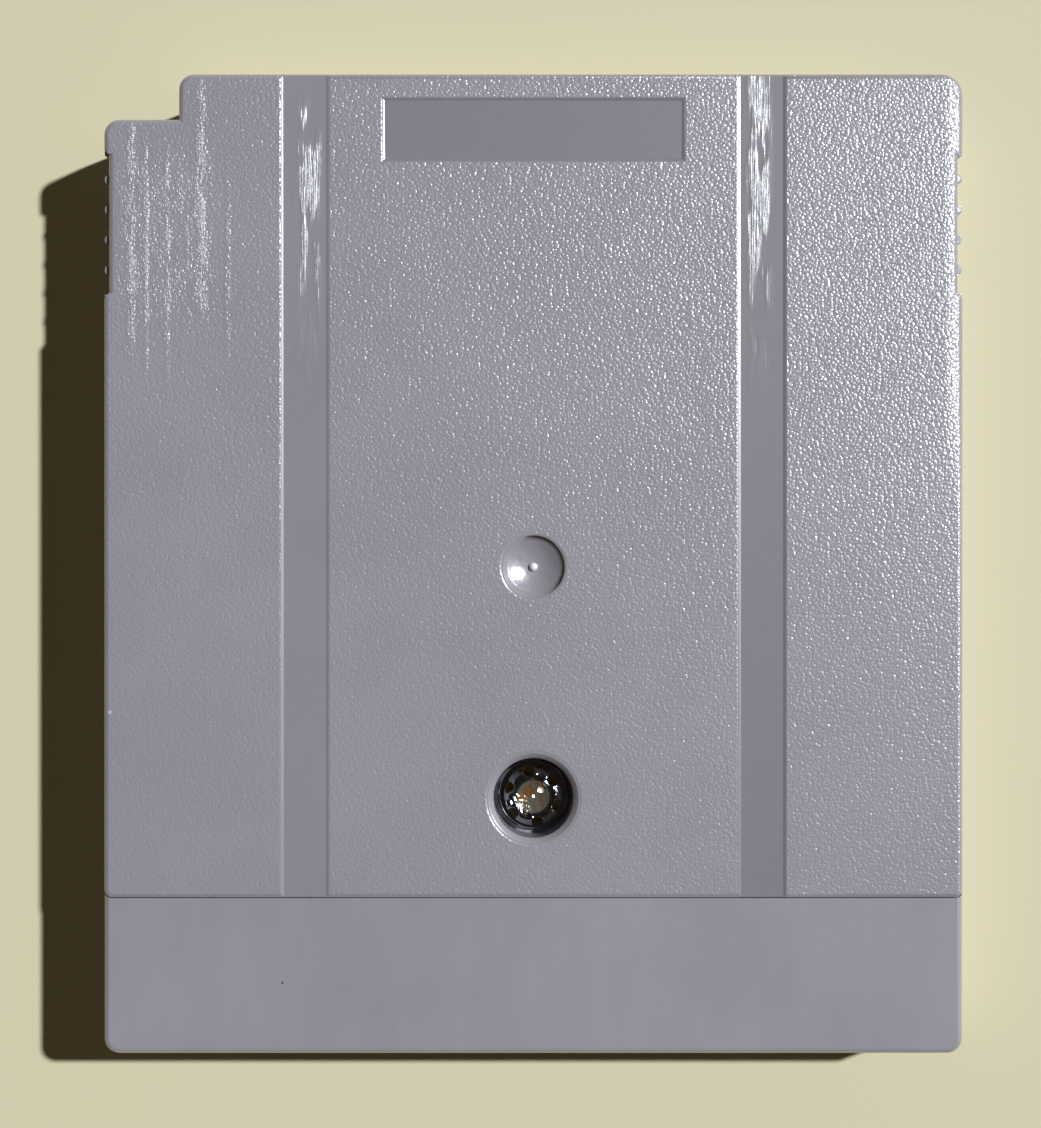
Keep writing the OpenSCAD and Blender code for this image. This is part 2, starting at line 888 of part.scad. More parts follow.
// The six-lobed head over its flange, on a plain shank: a dish with a rounded ring about it
module case_screw() {
    head_r = head_d / 2;
    dish_r = dish_d / 2;
    bevel = 0.12;
    lobes = 6;
    first_scallop = 40;
    ring_low_z = flange_t + head_h - crown;
    ring_half = (head_r - bevel - dish_r) / 2;
    dish = bowl(dish_r, dish_h, crown_steps);
    profile = concat(
        [
            [0, -shank_l],
            [shank_d / 2 - bevel, -shank_l],
            [shank_d / 2, bevel - shank_l],
            [shank_d / 2, 0],
            [flange_d / 2, 0],
            [flange_d / 2, flange_t - bevel],
            [flange_d / 2 - bevel, flange_t],
            [head_r, flange_t],
            [head_r, ring_low_z - bevel],
            [head_r - bevel, ring_low_z]
        ],
        [
            for (i = [1:crown_steps - 1])
                let (t = 1 - 2 * i / crown_steps)
                [dish_r + ring_half * (1 + t), ring_low_z + crown * (1 - t * t)]
        ],
        [for (i = [crown_steps:-1:0]) [dish[i][0], ring_low_z + dish[i][1]]]
    );
    color(steel)
        translate([0, screw_pos_y, seat_z])
            difference() {
                rotate_extrude($fn = round_fn)
                    polygon(profile);
                for (i = [0:lobes - 1])
                    rotate(first_scallop + i * 360 / lobes)
                        translate([head_r - scallop_inset, 0, flange_t])
                            cylinder(d = scallop_d, h = head_h + over, $fn = small_fn);
            }
}

module circuit_board() {
    bevel = 1;
    x = board_w / 2;
    color(board_green)
        translate([0, 0, board_z])
            linear_extrude(board_t)
                difference() {
                    polygon([
                        [bevel - x, board_low_y],
                        [x - bevel, board_low_y],
                        [x, board_low_y + bevel],
                        [x, board_high_y],
                        [-x, board_high_y],
                        [-x, board_low_y + bevel]
                    ]);
                    translate([0, screw_pos_y])
                        circle(board_hole_r, $fn = round_fn);
                    for (side = [-1, 1])
                        translate([side * x, peg_y])
                            square([2 * peg_d, peg_h], center = true);
                }
}

module edge_contacts() {
    first_x = -(contact_count - 1) * contact_pitch / 2;
    set_back = 0.5;
    color(gold)
        for (i = [0:contact_count - 1])
            translate([first_x + i * contact_pitch - contact_w / 2, board_low_y + set_back, board_top_z])
                cube([contact_w, contact_l, contact_t]);
}

// A moulded chip body: its sides slope in above and below the leads, and a dimple marks pin 1
module chip_body(x, y, l, w, t) {
    slope = t * tan(6);
    dimple = 0.9;
    function ring(d) = [
        [d - l / 2, d - w / 2],
        [l / 2 - d, d - w / 2],
        [l / 2 - d, w / 2 - d],
        [d - l / 2, w / 2 - d]
    ];
    color(chip_black)
        translate([x, y, board_top_z + chip_gap])
            difference() {
                loft([ring(slope / 2), ring(0), ring(slope / 2)], [0, t / 2, t]);
                translate([1.2 - l / 2, 1.2 - w / 2, t - 0.1])
                    cylinder(d = dimple, h = over, $fn = small_fn);
            }
}

// Gull-wing leads in two rows, from the middle of the body's sides down to the board
module chip_leads(x, y, count, w, t) {
    row = count / 2;
    mid = chip_gap + t / 2;
    foot = 0.45 * lead_reach;
    shoulder = 0.25 * lead_reach;
    wing = [
        [0, mid - lead_t / 2],
        [shoulder, mid - lead_t / 2],
        [lead_reach - foot, 0],
        [lead_reach, 0],
        [lead_reach, lead_t],
        [lead_reach - foot + lead_t, lead_t],
        [shoulder + lead_t, mid + lead_t / 2],
        [0, mid + lead_t / 2]
    ];
    color(tin)
        translate([x, y, board_top_z])
            for (side = [0, 1], i = [0:row - 1])
                mirror([0, side, 0])
                    translate([(i - (row - 1) / 2) * lead_pitch, w / 2, 0])
                        rotate([90, 0, 90])
                            linear_extrude(lead_w, center = true)
                                polygon(wing);
}

module rom_chip_body() {
    chip_body(rom_x, rom_y, rom_l, rom_w, chip_t);
}

module rom_chip_leads() {
    chip_leads(rom_x, rom_y, 32, rom_w, chip_t);
}

module save_ram_body() {
    chip_body(ram_x, ram_y, ram_l, ram_w, chip_t);
}

module save_ram_leads() {
    chip_leads(ram_x, ram_y, 28, ram_w, chip_t);
}

module bank_controller_body() {
    chip_body(bank_x, bank_y, bank_l, bank_w, chip_t);
}

module bank_controller_leads() {
    chip_leads(bank_x, bank_y, 24, bank_w, chip_t);
}

module power_monitor_body() {
    chip_body(monitor_x, row_y, monitor_l, monitor_w, small_chip_t);
}

module power_monitor_leads() {
    chip_leads(monitor_x, row_y, 8, monitor_w, small_chip_t);
}

// The cell: a wide can over a narrower cap, with the crimped seal between them
module coin_cell() {
    cell_r = cell_d / 2;
    round = 0.25;
    crimp = 0.9;
    cap_h = 0.3;
    color(steel)
        translate([cell_x, cell_y, cell_z])
            rotate_extrude($fn = round_fn)
                polygon([
                    [0, 0],
                    [cell_r - 1.6 * crimp, 0],
                    [cell_r - 1.6 * crimp, cap_h],
                    [cell_r - crimp / 2, cap_h],
                    [cell_r, cap_h + crimp / 2],
                    [cell_r, cell_t - round],
                    [cell_r - round, cell_t],
                    [0, cell_t]
                ]);
}

// A bent strip from the cell's face down to the board: its path lies in the x-z plane
module cell_tab(side, z, reach, height) {
    foot = 1.6;
    start = cell_d / 4;
    color(tin)
        translate([cell_x, cell_y, z])
            mirror([side, 0, 0])
                rotate([90, 0, 0])
                    linear_extrude(tab_w, center = true)
                        polygon([
                            [start, 0],
                            [reach, 0],
                            [reach, -height],
                            [reach + foot, -height],
                            [reach + foot, tab_t - height],
                            [reach + tab_t, tab_t - height],
                            [reach + tab_t, tab_t],
                            [start, tab_t]
                        ]);
}

// Both tabs end at the same distance from the cell, on the side towards the board's middle
module cell_tab_positive() {
    top = cell_z + cell_t;
    cell_tab(1, top, cell_d / 2 + 0.4, top - board_top_z);
}

module cell_tab_negative() {
    color(tin)
        translate([cell_x, cell_y, board_top_z])
            rotate([90, 0, 90])
                linear_extrude(tab_w, center = true)
                    polygon([
                        [-cell_d / 4, cell_lift - tab_t],
                        [cell_d / 4, cell_lift - tab_t],
                        [cell_d / 4, cell_lift],
                        [-cell_d / 4 - tab_t, cell_lift],
                        [-cell_d / 4 - tab_t, tab_t],
                        [-cell_d / 2, tab_t],
                        [-cell_d / 2, 0],
                        [-cell_d / 4, 0]
                    ]);
}

// Place of a small part from its distance to the board's right side, or left side if negative
function side_x(side) = side > 0 ? board_w / 2 - side : -board_w / 2 - side;

// A chip capacitor or resistor stands across the row, between its two metal ends
module smd_body(x, t) {
    color(ceramic_tan)
        translate([x, row_y, board_top_z + t / 2])
            cube([smd_w, smd_l - 2 * end_l, t], center = true);
}

module smd_ends(x, t) {
    color(tin)
        for (side = [-1, 1])
            translate([x, row_y + side * (smd_l - end_l) / 2, board_top_z + t / 2])
                cube([smd_w, end_l, t], center = true);
}

front_shell();
back_shell();
case_screw();
circuit_board();
edge_contacts();
rom_chip_body();
rom_chip_leads();
save_ram_body();
save_ram_leads();
bank_controller_body();
bank_controller_leads();
power_monitor_body();
power_monitor_leads();
coin_cell();
cell_tab_positive();
cell_tab_negative();
for (i = [0:len(CAPS) - 1]) {
    smd_body(side_x(CAP_SIDE[i]), cap_t);
    smd_ends(side_x(CAP_SIDE[i]), cap_t);
}
for (i = [0:len(RESISTORS) - 1]) {
    smd_body(side_x(RESISTOR_SIDE[i]), resistor_t);
    smd_ends(side_x(RESISTOR_SIDE[i]), resistor_t);
}
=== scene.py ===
# Looks of the game cartridge: materials, light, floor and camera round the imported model.
# Lengths in the materials are millimetres, and Blender's own are metres.
import math

import bpy
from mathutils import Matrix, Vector


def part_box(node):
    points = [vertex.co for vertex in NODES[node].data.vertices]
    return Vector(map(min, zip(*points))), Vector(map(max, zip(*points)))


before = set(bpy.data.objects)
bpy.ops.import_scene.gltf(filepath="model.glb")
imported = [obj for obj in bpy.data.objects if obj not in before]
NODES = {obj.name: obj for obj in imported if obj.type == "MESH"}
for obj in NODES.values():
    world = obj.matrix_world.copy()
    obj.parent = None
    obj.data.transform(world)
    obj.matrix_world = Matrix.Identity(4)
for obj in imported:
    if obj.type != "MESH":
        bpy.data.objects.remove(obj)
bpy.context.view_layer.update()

MM = 0.001
PANEL_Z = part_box("back_shell")[1].z / MM
CASE_HIGH_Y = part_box("back_shell")[1].y / MM
SCREW_LOW, SCREW_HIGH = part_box("case_screw")
SCREW_Y = (SCREW_LOW.y + SCREW_HIGH.y) / 2 / MM
HEAD_TOP_Z = SCREW_HIGH.z / MM

# Features of the back panel and of the screw's head, as in the part's source
CHANNEL_X = 15.1
CHANNEL_W = 3.26
RECESS_W = 20.06
RECESS_LOW_Y = 26.57
RECESS_HIGH_Y = 30.83
GATE_Y = -0.2
GATE_R = 2.05
NUB_R = 0.3
WELL_R = 2.65
WELL_CHAMFER = 0.35
DISH_R = 1.2
HEAD_R = 1.93

# The photograph: its size in pixels and its scale at the back panel
PHOTO_W = 1041
PHOTO_H = 1128
PIXELS_PER_MM = 15.14
PHOTO_CENTRE_X = 533.4
PHOTO_CENTRE_Y = 563.9
CAMERA_HEIGHT = 123.0
CLIP_START = 0.005

# Direction to the key lamp: sideways millimetres for each millimetre of height
KEY_SLOPE_X = 0.825
KEY_SLOPE_Y = 0.345
KEY_STRENGTH = 3.9
KEY_ANGLE = 2.2
KEY_TINT = (0.96, 1.0, 1.04)

# Light of the studio round the object: height of the direction, and brightness
STUDIO = ((0.0, 0.60), (0.15, 0.28), (0.5, 0.04), (0.85, 0.02), (1.0, 0.015))
STUDIO_TINT = (1.0, 0.80, 0.50)
FLOOR_HALF = 2.0

# Case plastic: its colour, and the shares of it in pale clouds, dark clouds and polished places
CASE_GREY = (0.314, 0.296, 0.337)
LIGHT_CLOUD = 1.03
DARK_CLOUD = 0.965
POLISHED = 0.75
# Pale plastic for the fleck and the rubbed streaks, also painted on the dimple's nub as a highlight
PALE_MARK_AND_HIGHLIGHT = (0.88, 0.86, 0.90)
# Dark grime for the speck on the band, also painted inside the dimple's edge as shade
GRIME_AND_PAINTED_SHADE = (0.030, 0.014, 0.010)
CLOUD_CELLS = 0.12
ROUGHNESS_CELLS = 1.3
BODY_ROUGHNESS = (0.40, 0.46)
BODY_IOR = 1.5
COAT_ROUGHNESS = 0.29
COAT_IOR = 1.85

# Grain: noise scales for each millimetre, and heights in millimetres
GRAIN_CELLS = 4.8
GRAIN_HEIGHT = 0.040
WRINKLES = 8.0
WRINKLE_HEIGHT = 0.026
DUST = 9.0
DUST_HEIGHT = 0.0045
RELIEF_UNDER_COAT = 0.5

# How much of the grain's height is left from the low end of the panel to the high one
GRAIN_Y = (-14.0, 26.0)
GRAIN_LEFT = (0.64, 1.0)
# The calmer upper left of the panel: where it fades in, and the height that it loses
CALM_X = (-14.0, -18.0)
CALM_Y = (8.0, 18.0)
CALM_LOSS = -0.10
# The grain ends this far under the panel
GRAIN_END = (1.4, 1.0)

# Brushed wear in the channels: noise stretched along them, where it fades in, and its height on
# the left and on the right
STROKES = (11.0, 0.22, 3.0)
STROKE_PATCHES = (1.1, 0.22, 0.5)
STROKE_HEIGHT = 0.045
STROKE_SIDES = (1.5, 1.0)
STROKE_Y = (8.0, 24.0)
LEFT_STROKE_TOP = (31.4, 29.4)

# Worn lines down the left of the panel: place, lower end, upper end, half width and strength
WORN_LINES = (
    (-26.6, 14.5, 29.4, 0.42, 1.0),
    (-25.6, 13.0, 27.2, 0.28, 0.7),
    (-24.2, 12.0, 27.0, 0.30, 0.55),
    (-22.0, 17.0, 32.0, 0.55, 0.9),
    (-20.2, 14.0, 26.0, 0.30, 0.5),
)
WORN_FADE = 4.0
WORN_GRAIN = 0.2
# The rubbed patch round them: its ends, how softly they fade, and its strength
PATCH_X = (-27.6, -21.0, 1.5)
PATCH_Y = (16.0, 27.5, 5.0)
PATCH_STRENGTH = 0.5
BRISTLES = (13.0, 3.2, 3.0)
BREAKS = (1.6, 0.5, 0.5)
SCRATCH_HEIGHT = 0.078

# The right edge of the panel rolls over: where from, its fall, and where that fades in
ROLL_X = 27.1
ROLL_FALL = -0.14
ROLL_Y = (2.0, 14.0)

# Softness of the edges between smooth and grained places
EDGE_SOFT = 0.1

# The round holes: the smooth ring beyond their edges, and their worn lips
RING = (0.08, 0.2)
LIP_WIDTH = 0.18
LIP_FALL = -0.035

# The dimple: its waves, its steeper rim and its painted shadow on the upper-right side of its edge,
# each with the distances inside its edge between which it fades in
WAVE_CELLS = 1.6
WAVE_HEIGHT = 0.06
WAVE_BAND = (0.2, 0.5)
RIM_RISE = 0.10
RIM_BAND = (0.35, 0.02)
PAINTED_SHADOW_BAND = (0.3, 0.1)

# Small marks: a pale fleck on the panel and a dark speck on the band
FLECK = (-27.97, -9.8)
SPECK = (-16.6, -27.7)
RUBBED_STREAKS = (0.5, 0.12, 0.3)
RUBBED_SHARE = 0.022

# Screw: colours of its plating, and of the brown and green painted reflections in its hollows
SCREW_PLATING = (0.46, 0.47, 0.52)
BROWN_REFLECTION = (0.30, 0.15, 0.05)
GREEN_REFLECTION = (0.22, 0.21, 0.11)
# Slope of a facet of the screw that sends the lamp's light straight up to the camera
GLINT_SLOPE_X = -0.36
GLINT_SLOPE_Y = -0.22
# Dents that a driver left in the screw's head: place from its axis, radius, and how fast the
# head's own slope grows from the axis there
SCREW_DENTS = (
    (0.84, 0.86, 0.27, 0.44),
    (0.52, 0.46, 0.30, 0.44),
    (-1.62, -0.42, 0.28, 0.0),
    (0.0, 0.0, 0.10, 0.44),
)
DENT_HEIGHT = 0.08
DENT_NOISE = 1.9
DENT_NOISE_HEIGHT = 0.14
CROWN_FALL = -0.06

# Bevels: their widths, the angle from which an edge is sharp, and the angle up to which faces
# count as one flat face
SHELL_BEVEL = 0.07
SCREW_BEVEL = 0.04
BEVEL_SEGMENTS = 2
SHARP_ANGLE = 38
FLAT_ANGLE = 0.5


def srgb(red, green, blue):
    """A colour given as 0 to 255 display values, in linear light."""
    def linear(value):
        share = value / 255
        return share / 12.92 if share <= 0.04045 else ((share + 0.055) / 1.055) ** 2.4
    return (linear(red), linear(green), linear(blue))


class Graph:
    """A material's node tree, with short calls for the nodes that the finishes use."""

    def __init__(self, name):
        self.material = bpy.data.materials.new(name)
        self.material.use_nodes = True
        self.tree = self.material.node_tree
        self.shader = self.tree.nodes["Principled BSDF"]
        coordinates = self.node("ShaderNodeTexCoord").outputs["Object"]
        scaled = self.node("ShaderNodeVectorMath", operation="SCALE")
        self.tree.links.new(coordinates, scaled.inputs[0])
        scaled.inputs["Scale"].default_value = 1 / MM
        self.place = scaled.outputs[0]
        parts = self.node("ShaderNodeSeparateXYZ")
        self.tree.links.new(self.place, parts.inputs[0])
        self.x, self.y, self.z = parts.outputs

    def node(self, kind, **settings):
        made = self.tree.nodes.new(kind)
        for key, value in settings.items():
            setattr(made, key, value)
        return made

    def put(self, socket, value):
        if isinstance(value, bpy.types.NodeSocket):
            self.tree.links.new(value, socket)
        elif isinstance(value, tuple) and socket.type == "RGBA":
            socket.default_value = (*value, 1)
        else:
            socket.default_value = value

    def math(self, operation, *values):
        made = self.node("ShaderNodeMath", operation=operation)
        for socket, value in zip(made.inputs, values):
            self.put(socket, value)
        return made.outputs[0]

    def add(self, *values):
        total = values[0]
        for value in values[1:]:
            total = self.math("ADD", total, value)
        return total

    def times(self, *values):
        total = values[0]
        for value in values[1:]:
            total = self.math("MULTIPLY", total, value)
        return total

    def ramp(self, value, low, high, to_low=0.0, to_high=1.0):
        made = self.node("ShaderNodeMapRange", interpolation_type="SMOOTHSTEP")
        for key, item in (("Value", value), ("From Min", low), ("From Max", high),
                          ("To Min", to_low), ("To Max", to_high)):
            self.put(made.inputs[key], item)
        return made.outputs[0]

    def span(self, value, low, high, soft):
        """1 between low and high, falling smoothly to 0 outside over the length soft."""
        rise = self.ramp(value, low - soft / 2, low + soft / 2)
        fall = self.ramp(value, high - soft / 2, high + soft / 2, 1.0, 0.0)
        return self.times(rise, fall)

    def hill(self, value, middle, half_width):
        """1 at the middle, falling smoothly to 0 at half_width on both sides."""
        distance = self.math("ABSOLUTE", self.math("SUBTRACT", value, middle))
        return self.ramp(distance, half_width, 0.0)

    def vector(self, x, y, z):
        made = self.node("ShaderNodeCombineXYZ")
        for socket, value in zip(made.inputs, (x, y, z)):
            self.put(socket, value)
        return made.outputs[0]

    def stretch(self, x, y, z):
        """The place, scaled by a factor for each axis."""
        return self.vector(self.times(self.x, x), self.times(self.y, y), self.times(self.z, z))

    def noise(self, scale, detail=2.0, roughness=0.5, vector=None):
        made = self.node("ShaderNodeTexNoise")
        self.put(made.inputs["Vector"], vector or self.place)
        made.inputs["Scale"].default_value = scale
        made.inputs["Detail"].default_value = detail
        made.inputs["Roughness"].default_value = roughness
        return made.outputs["Fac"]

    def domes(self, scale):
        """Rounded grains, high in the middle: the height in squares of the grains' spacing."""
        made = self.node("ShaderNodeTexVoronoi")
        self.put(made.inputs["Vector"], self.place)
        made.inputs["Scale"].default_value = scale
        distance = made.outputs["Distance"]
        return self.math("SUBTRACT", 0.5, self.times(distance, distance))

    def mix(self, share, first, second):
        made = self.node("ShaderNodeMix", data_type="RGBA")
        self.put(made.inputs[0], share)
        self.put(made.inputs[6], first)
        self.put(made.inputs[7], second)
        return made.outputs[2]

    def round_distance(self, x, y):
        """Distance from an upright axis at x, y."""
        side = self.math("SUBTRACT", self.x, x)
        along = self.math("SUBTRACT", self.y, y)
        return self.math("SQRT", self.add(self.times(side, side), self.times(along, along)))

    def relief(self, height):
        """Makes the shader's normal from a height in millimetres."""
        made = self.node("ShaderNodeBump")
        made.inputs["Distance"].default_value = MM
        self.put(made.inputs["Height"], height)
        self.tree.links.new(made.outputs[0], self.shader.inputs["Normal"])
        return made.outputs[0]

    def soften_relief(self, normal, share):
        """Keeps the full relief on the glossy coat, and a share of it on what lies under."""
        self.tree.links.new(normal, self.shader.inputs["Coat Normal"])
        smooth = self.node("ShaderNodeNewGeometry").outputs["Normal"]
        made = self.node("ShaderNodeMix", data_type="VECTOR")
        made.inputs[0].default_value = share
        self.tree.links.new(smooth, made.inputs[4])
        self.tree.links.new(normal, made.inputs[5])
        unit = self.node("ShaderNodeVectorMath", operation="NORMALIZE")
        self.tree.links.new(made.outputs[1], unit.inputs[0])
        self.tree.links.new(unit.outputs[0], self.shader.inputs["Normal"])

    def set(self, **values):
        for key, value in values.items():
            self.put(self.shader.inputs[key.replace("_", " ")], value)


def shade(share):
    """The case's colour, times a share."""
    return tuple(share * c for c in CASE_GREY)


def plastic(name, finish):
    """Moulded case plastic. finish gives the shares of grain, polish and scoring at a place,
    the height to add, and the marks, each a share and a colour; some marks are painted shade and
    painted highlight."""
    g = Graph(name)
    grained, polished, scored, form, marks = finish(g)
    grain = g.add(
        g.times(g.domes(GRAIN_CELLS), GRAIN_HEIGHT),
        g.times(g.noise(WRINKLES, detail=1.0), WRINKLE_HEIGHT),
    )
    dust = g.times(g.noise(DUST), DUST_HEIGHT)
    strokes = g.noise(1.0, detail=2.5, roughness=0.7, vector=g.stretch(*STROKES))
    strokes = g.times(strokes, scored, STROKE_HEIGHT)
    normal = g.relief(g.add(g.times(grain, grained), dust, strokes, form))
    g.soften_relief(normal, RELIEF_UNDER_COAT)
    cloud = g.ramp(g.noise(CLOUD_CELLS), 0.3, 0.7)
    colour = g.mix(cloud, shade(DARK_CLOUD), shade(LIGHT_CLOUD))
    colour = g.mix(polished, colour, shade(POLISHED))
    for share, mark in marks:
        colour = g.mix(share, colour, mark)
    g.set(Base_Color=colour, IOR=BODY_IOR)
    g.set(Roughness=g.ramp(g.noise(ROUGHNESS_CELLS), 0.3, 0.7, *BODY_ROUGHNESS))
    g.set(Coat_Weight=1.0, Coat_Roughness=COAT_ROUGHNESS, Coat_IOR=COAT_IOR)
    return g.material


def worn_left(g, textured):
    """The worn lines and the rubbed patch: what they add to the grain's share, and their height."""
    more_grain = 0.0
    scratches = 0.0
    for x, low, top, half_width, strength in WORN_LINES:
        line = g.times(g.hill(g.x, x, half_width), g.span(g.y, low, top, WORN_FADE))
        more_grain = g.math("MULTIPLY_ADD", line, WORN_GRAIN * strength, more_grain)
        scratches = g.math("MULTIPLY_ADD", line, strength, scratches)
    patch = g.times(g.span(g.x, *PATCH_X), g.span(g.y, *PATCH_Y))
    scratches = g.math("MULTIPLY_ADD", patch, PATCH_STRENGTH, scratches)
    bristle = g.noise(1.0, roughness=0.6, vector=g.stretch(*BRISTLES))
    breaks = g.noise(1.0, vector=g.stretch(*BREAKS))
    breaks = g.ramp(breaks, 0.32, 0.62, 0.35, 1.0)
    return more_grain, g.times(scratches, bristle, breaks, textured, SCRATCH_HEIGHT)


def scored_channels(g, aside, in_channel):
    """Brushed wear along the middle of the channels, strongest near the top edge."""
    middle = g.span(aside, CHANNEL_X - 1.0, CHANNEL_X + 0.5, 0.8)
    below_top = g.math("MAXIMUM", g.ramp(g.x, -1.0, 1.0), g.ramp(g.y, *LEFT_STROKE_TOP))
    patches = g.noise(1.0, vector=g.stretch(*STROKE_PATCHES))
    patches = g.ramp(patches, 0.42, 0.58)
    sides = g.ramp(g.x, -CHANNEL_X, CHANNEL_X, *STROKE_SIDES)
    return g.times(middle, g.ramp(g.y, *STROKE_Y), below_top, patches, in_channel, sides)


def dimple_finish(g):
    """Height to add in the round dimple, and the marks: its nub, painted pale as a highlight, and a
    painted shadow on the upper-right side of its edge.
    """
    distance = g.round_distance(0.0, GATE_Y)
    inside = g.math("SUBTRACT", GATE_R, distance)
    waves = g.times(g.noise(WAVE_CELLS, detail=1.0), g.ramp(inside, *WAVE_BAND), WAVE_HEIGHT)
    rim = g.times(g.ramp(inside, *RIM_BAND), g.ramp(inside, -0.02, 0.02), RIM_RISE)
    # Painted shadow: a dark crescent inside the upper-right edge of the dimple, where its rim
    # shades the bowl.
    shadow_side = g.ramp(g.math("MULTIPLY_ADD", g.y, 0.55, g.x), 0.0, 1.4)
    painted_shadow = g.times(g.ramp(inside, *PAINTED_SHADOW_BAND), g.ramp(inside, -0.1, 0.0), shadow_side)
    # Painted highlight: the nub is coloured pale where the lamp glints on it.
    nub_highlight = g.ramp(distance, NUB_R, NUB_R - 0.06)
    return g.add(waves, rim), ((nub_highlight, PALE_MARK_AND_HIGHLIGHT), (painted_shadow, GRIME_AND_PAINTED_SHADE))


def back_finish(g):
    aside = g.math("ABSOLUTE", g.x)
    half = CHANNEL_W / 2
    high = g.ramp(g.z, *(PANEL_Z - depth for depth in GRAIN_END))
    in_channel = g.span(aside, CHANNEL_X - half, CHANNEL_X + half, EDGE_SOFT)
    in_channel = g.times(high, in_channel)
    in_recess = g.times(
        g.span(g.x, -RECESS_W / 2, RECESS_W / 2, EDGE_SOFT),
        g.span(g.y, RECESS_LOW_Y, RECESS_HIGH_Y, EDGE_SOFT),
    )
    smooth = g.math("MAXIMUM", in_channel, in_recess)
    lips = 0.0
    for y, radius in ((GATE_Y, GATE_R), (SCREW_Y, WELL_R + WELL_CHAMFER)):
        distance = g.round_distance(0.0, y)
        disc = g.ramp(distance, *(radius + beyond for beyond in RING), 1.0, 0.0)
        smooth = g.math("MAXIMUM", smooth, disc)
        lip = g.hill(distance, radius + 0.02, LIP_WIDTH)
        lips = g.math("MULTIPLY_ADD", lip, LIP_FALL, lips)
    textured = g.times(high, g.math("SUBTRACT", 1.0, smooth))
    calm = g.times(g.ramp(g.x, *CALM_X), g.ramp(g.y, *CALM_Y))
    left = g.math("MULTIPLY_ADD", calm, CALM_LOSS, g.ramp(g.y, *GRAIN_Y, *GRAIN_LEFT))
    more_grain, scratches = worn_left(g, textured)
    grained = g.times(textured, g.add(left, more_grain))
    in_channel_right = g.times(in_channel, g.ramp(g.x, -CHANNEL_X, 0.0, 0.4, 1.0))
    polish = g.math("MAXIMUM", in_recess, in_channel_right)
    polish = g.times(polish, high, g.ramp(g.y, CASE_HIGH_Y - 0.15, CASE_HIGH_Y - 0.35))
    side = g.math("MAXIMUM", g.math("SUBTRACT", g.x, ROLL_X), 0.0)
    roll = g.times(side, side, g.ramp(g.y, *ROLL_Y), ROLL_FALL)
    dimple, marks = dimple_finish(g)
    fleck = g.ramp(g.round_distance(*FLECK), 0.16, 0.08, 0.0, 0.5)
    return (
        grained,
        polish,
        scored_channels(g, aside, in_channel),
        g.add(roll, lips, dimple, scratches),
        (*marks, (fleck, PALE_MARK_AND_HIGHLIGHT)),
    )


def front_finish(g):
    """The label face is grained, and the rest is smooth, with faint rubbed streaks."""
    streaks = g.noise(1.0, vector=g.stretch(*RUBBED_STREAKS))
    speck = g.ramp(g.round_distance(*SPECK), 0.12, 0.04, 0.0, 0.8)
    marks = ((g.ramp(streaks, 0.4, 0.7, 0.0, RUBBED_SHARE), PALE_MARK_AND_HIGHLIGHT), (speck, GRIME_AND_PAINTED_SHADE))
    return g.ramp(g.z, 0.2, 0.12), 0.0, 0.0, 0.0, marks


def metal(name, colour, roughness):
    """Bare or plated metal, worn in places."""
    g = Graph(name)
    g.set(Base_Color=colour, Metallic=1.0)
    wear = g.noise(2.5, detail=4.0, roughness=0.6)
    g.set(Roughness=g.ramp(wear, 0.3, 0.7, roughness * 0.7, roughness * 1.4))
    g.relief(g.times(g.noise(14.0, detail=2.0), 0.0006))
    return g.material


def screw_metal():
    """Bright plating on a crowned head, with brown and green reflections painted in its dish and
    between its lobes.
    """
    g = Graph("screw_metal")
    distance = g.round_distance(0.0, SCREW_Y)
    in_dish = g.ramp(distance, DISH_R, DISH_R - 0.25)
    low = g.ramp(g.z, HEAD_TOP_Z - 0.9, HEAD_TOP_Z - 1.2)
    between = g.times(low, g.ramp(distance, HEAD_R + 0.05, HEAD_R - 0.05))
    # Painted reflection: blotchy brown and green colour in the dish and between the lobes stands in
    # for the room mirrored there.
    blotches = g.noise(1.6, detail=2.0, roughness=0.6)
    painted_reflection = g.mix(g.ramp(blotches, 0.42, 0.58), BROWN_REFLECTION, GREEN_REFLECTION)
    reflection_share = g.times(in_dish, g.ramp(blotches, 0.35, 0.6, 1.0, 0.75))
    reflection_share = g.math("MAXIMUM", reflection_share, between)
    g.set(Base_Color=g.mix(reflection_share, SCREW_PLATING, painted_reflection))
    g.set(Metallic=g.ramp(reflection_share, 0.0, 1.0, 1.0, 0.6))
    g.set(Roughness=g.ramp(reflection_share, 0.0, 1.0, 0.12, 0.16))
    crown = g.times(distance, distance, CROWN_FALL)
    noise = g.noise(DENT_NOISE, detail=2.0, roughness=0.6)
    form = g.math("MULTIPLY_ADD", noise, DENT_NOISE_HEIGHT, crown)
    for x, y, radius, hollow in SCREW_DENTS:
        across = g.times(g.math("SUBTRACT", g.x, x), GLINT_SLOPE_X - hollow * x)
        along = g.times(g.math("SUBTRACT", g.y, SCREW_Y + y), GLINT_SLOPE_Y - hollow * y)
        facet = g.add(across, along, DENT_HEIGHT)
        here = g.ramp(g.round_distance(x, SCREW_Y + y), radius, radius * 0.7)
        form = g.add(g.times(form, g.math("SUBTRACT", 1.0, here)), g.times(facet, here))
    g.relief(g.times(form, g.ramp(g.z, HEAD_TOP_Z - 0.9, HEAD_TOP_Z - 0.6)))
    return g.material


def plain(name, colour, roughness):
    """A plain hard material of one colour, a little uneven."""
    g = Graph(name)
    dark = tuple(0.9 * c for c in colour)
    g.set(Base_Color=g.mix(g.noise(1.5), dark, colour), Roughness=roughness)
    g.relief(g.times(g.noise(9.0, detail=3.0), 0.004))
    return g.material


